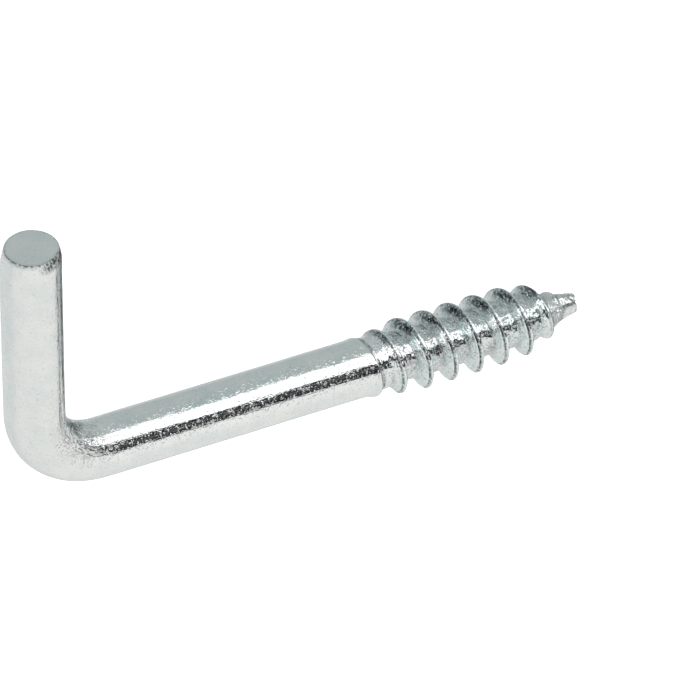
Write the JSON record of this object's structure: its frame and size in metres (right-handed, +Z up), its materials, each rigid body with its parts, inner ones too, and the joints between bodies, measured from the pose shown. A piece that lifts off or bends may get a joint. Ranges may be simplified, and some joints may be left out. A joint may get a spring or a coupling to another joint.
{
  "type": "screw hook",
  "caption": "Square-bend screw hook formed from one steel wire, with a plain shank, a coarse wood thread and a pinched blunt point, bright zinc plated.",
  "frame": {"origin": "on the screw axis, at the shoulder where the plain shank stops and the threaded end begins", "axes": "+X along the screw axis towards the point, +Y along the leg (the leg leans 5 degrees back from it), +Z up out of the plane of the bend; the hook lies on its side with that plane level"},
  "size_m": [0.0645, 0.0309, 0.0072],
  "materials": {
    "zinc_steel": "bright electro-zinc plate over cold-formed steel wire, fine grained and slightly pitted"
  },
  "bodies": {
    "root": {"screw_hook": "zinc_steel"}
  },
  "joints": []
}
